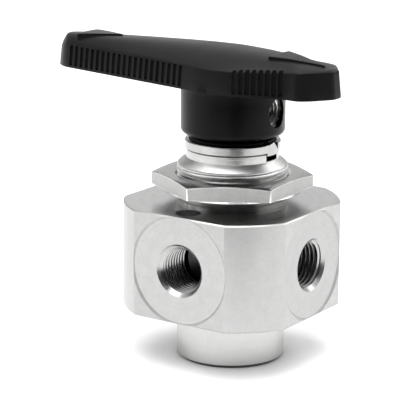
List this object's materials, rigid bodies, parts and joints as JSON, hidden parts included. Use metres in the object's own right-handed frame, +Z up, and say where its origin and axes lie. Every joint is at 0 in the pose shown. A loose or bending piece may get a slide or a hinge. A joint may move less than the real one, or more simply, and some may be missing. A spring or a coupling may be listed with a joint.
{
  "type": "three way ball valve",
  "caption": "Panel-mounted three way ball valve: round-bar steel body, two side ports, a bottom port, and a lever handle that points at the open side port.",
  "frame": {"origin": "middle of the bottom port's mouth, on the end face of the stub that the valve stands on", "axes": "+Z up along the stem axis, +X out of the side port that the handle points at in the rest pose, -Y out of the other side port"},
  "size_m": [0.0659, 0.0382, 0.0634],
  "materials": {
    "body_steel": "machined stainless steel with fine turning and milling marks",
    "nut_steel": "satin stainless steel",
    "ring_steel": "turned stainless steel",
    "inner_steel": "ground stainless steel",
    "ptfe": "waxy white fluoropolymer",
    "peek": "tan engineering plastic",
    "nylon": "fine-textured moulded black nylon",
    "insert_brass": "machined nickel-plated brass"
  },
  "bodies": {
    "valve": {"valve_body": "body_steel", "bottom_disc": "inner_steel", "side_rings": "inner_steel", "side_discs": "inner_steel", "ball_packing": "ptfe", "lower_gland": "inner_steel", "stem_bearing": "peek", "lower_chevron": "ptfe", "upper_chevron": "ptfe", "upper_gland": "inner_steel", "packing_springs": "inner_steel", "packing_bolt": "inner_steel", "stop_ring": "ring_steel"},
    "nut": {"panel_nut": "nut_steel"},
    "handle_and_stem": {"ball_stem": "inner_steel", "grounding_spring": "inner_steel", "stop_pin": "inner_steel", "handle_insert": "insert_brass", "set_screw": "inner_steel", "handle": "nylon"}
  },
  "joints": [
    {"name": "handle_turn", "type": "hinge", "parent": "valve", "child": "handle_and_stem", "pos_m": [0, 0, 0.02155], "axis": [0, 0, 1], "range_deg": [-90, 0]},
    {"name": "nut_travel", "type": "slide", "parent": "valve", "child": "nut", "axis": [0, 0, 1], "range_m": [-0.0022, 0.0025]}
  ]
}
